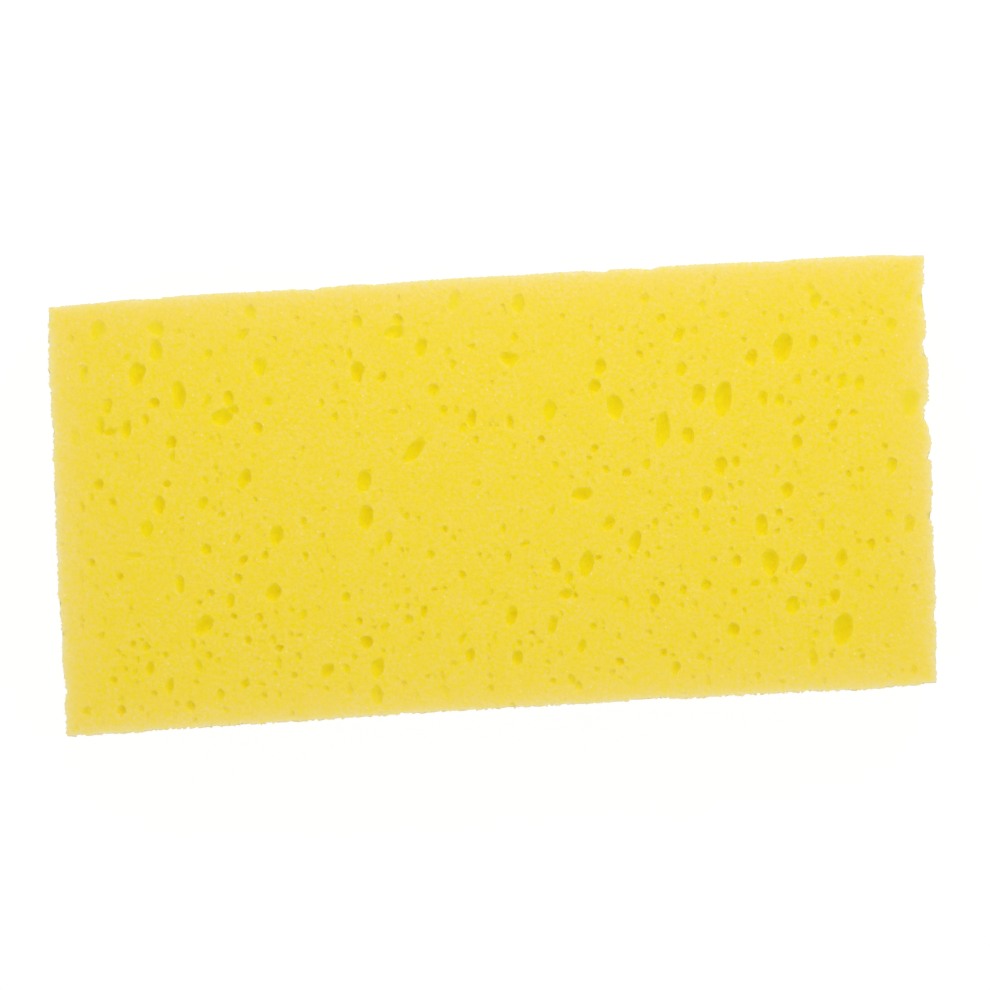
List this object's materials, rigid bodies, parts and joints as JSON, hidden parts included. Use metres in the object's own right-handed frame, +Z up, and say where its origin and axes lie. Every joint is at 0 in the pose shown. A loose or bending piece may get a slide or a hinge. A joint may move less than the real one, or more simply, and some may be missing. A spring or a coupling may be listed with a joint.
{
  "type": "cleaning sponge",
  "caption": "Plain rectangular open-cell foam sponge for cleaning, with sawn faces pitted by cells of mixed sizes and ends that lean a little.",
  "frame": {"origin": "middle of the bounding box at the bottom face", "axes": "+X along the length, +Y along the width, +Z up through the thickness"},
  "size_m": [0.1414, 0.069, 0.03],
  "materials": {
    "foam": "matt open-cell polyurethane foam, bright yellow"
  },
  "bodies": {
    "root": {"sponge": "foam"}
  },
  "joints": []
}
